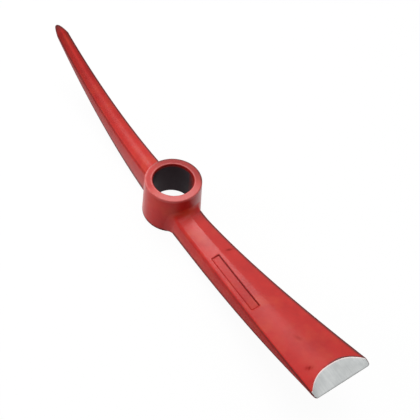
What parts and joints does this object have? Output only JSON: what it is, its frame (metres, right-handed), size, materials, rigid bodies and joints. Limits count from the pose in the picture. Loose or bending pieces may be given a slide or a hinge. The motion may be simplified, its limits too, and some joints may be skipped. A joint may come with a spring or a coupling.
{
  "type": "pick axe head",
  "caption": "Pick axe head: a round eye for a drop-in handle, with a curved pointed pick arm and a flared chisel arm ground to a cutting edge, in painted steel.",
  "frame": {"origin": "middle of the eye, on the bore's axis at half the collar's height", "axes": "+Z along the eye towards the rim that stands above the arms, +X along the chisel arm, -X along the pick arm"},
  "size_m": [0.5325, 0.0628, 0.0635],
  "materials": {
    "red_paint": "semi-gloss paint over a forged surface",
    "ground_steel": "bright ground bevel, painted behind it"
  },
  "bodies": {
    "root": {"eye_collar": "red_paint", "chisel_arm": "red_paint", "chisel_bit": "ground_steel", "chisel_arm_weld": "red_paint", "pick_arm": "red_paint", "pick_point": "red_paint", "pick_arm_weld": "red_paint"}
  },
  "joints": []
}
